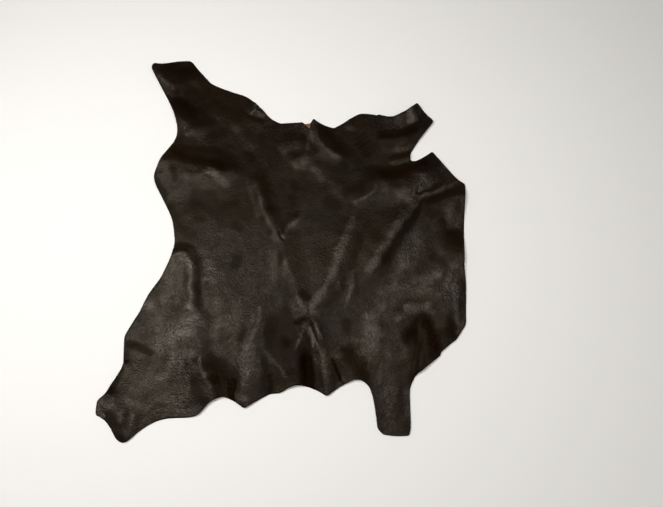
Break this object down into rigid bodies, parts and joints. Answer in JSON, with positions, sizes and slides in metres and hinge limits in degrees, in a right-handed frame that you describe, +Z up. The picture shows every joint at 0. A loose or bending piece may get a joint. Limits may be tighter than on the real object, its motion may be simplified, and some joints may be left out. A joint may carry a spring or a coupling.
{
  "type": "craft leather",
  "caption": "Whole small dressed skin in dark brown leather, grain side up, lying loose with soft folds, for cutting and sewing.",
  "frame": {"origin": "centre of the outline's box, on the surface that the skin lies on", "axes": "+Z up from the surface, +Y towards the neck edge, +X towards the right legs as seen from above"},
  "size_m": [0.7849, 0.8792, 0.0132],
  "materials": {
    "dark_brown_leather": "smooth grain with a satin sheen, fine natural wrinkles, tan suede on the flesh side"
  },
  "bodies": {
    "root": {"hide": "dark_brown_leather"}
  },
  "joints": []
}
